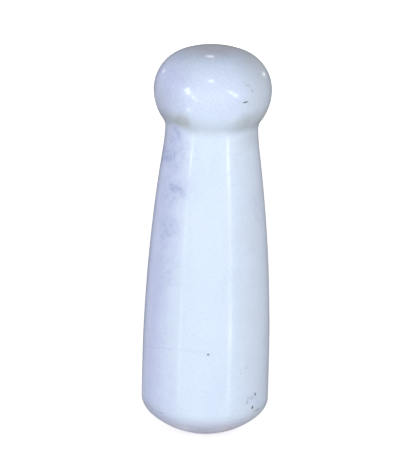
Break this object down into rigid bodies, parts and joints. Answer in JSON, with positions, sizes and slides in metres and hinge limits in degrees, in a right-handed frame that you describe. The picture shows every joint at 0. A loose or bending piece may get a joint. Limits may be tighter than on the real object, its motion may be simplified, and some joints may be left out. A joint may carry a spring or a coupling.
{
  "type": "pestle",
  "caption": "Solid turned white marble pestle: a domed grinding end, a body that narrows to a neck, and a rounded knob for the palm.",
  "frame": {"origin": "centre of the small flat foot at the lowest point of the grinding end", "axes": "+Z along the turning axis from the grinding end up to the knob; the part is round, so X and Y are any two directions square to it"},
  "size_m": [0.0452, 0.0452, 0.14],
  "materials": {
    "polished_marble": "polished white marble with faint grey clouding; the domed grinding end is left unpolished"
  },
  "bodies": {
    "root": {"pestle": "polished_marble"}
  },
  "joints": []
}
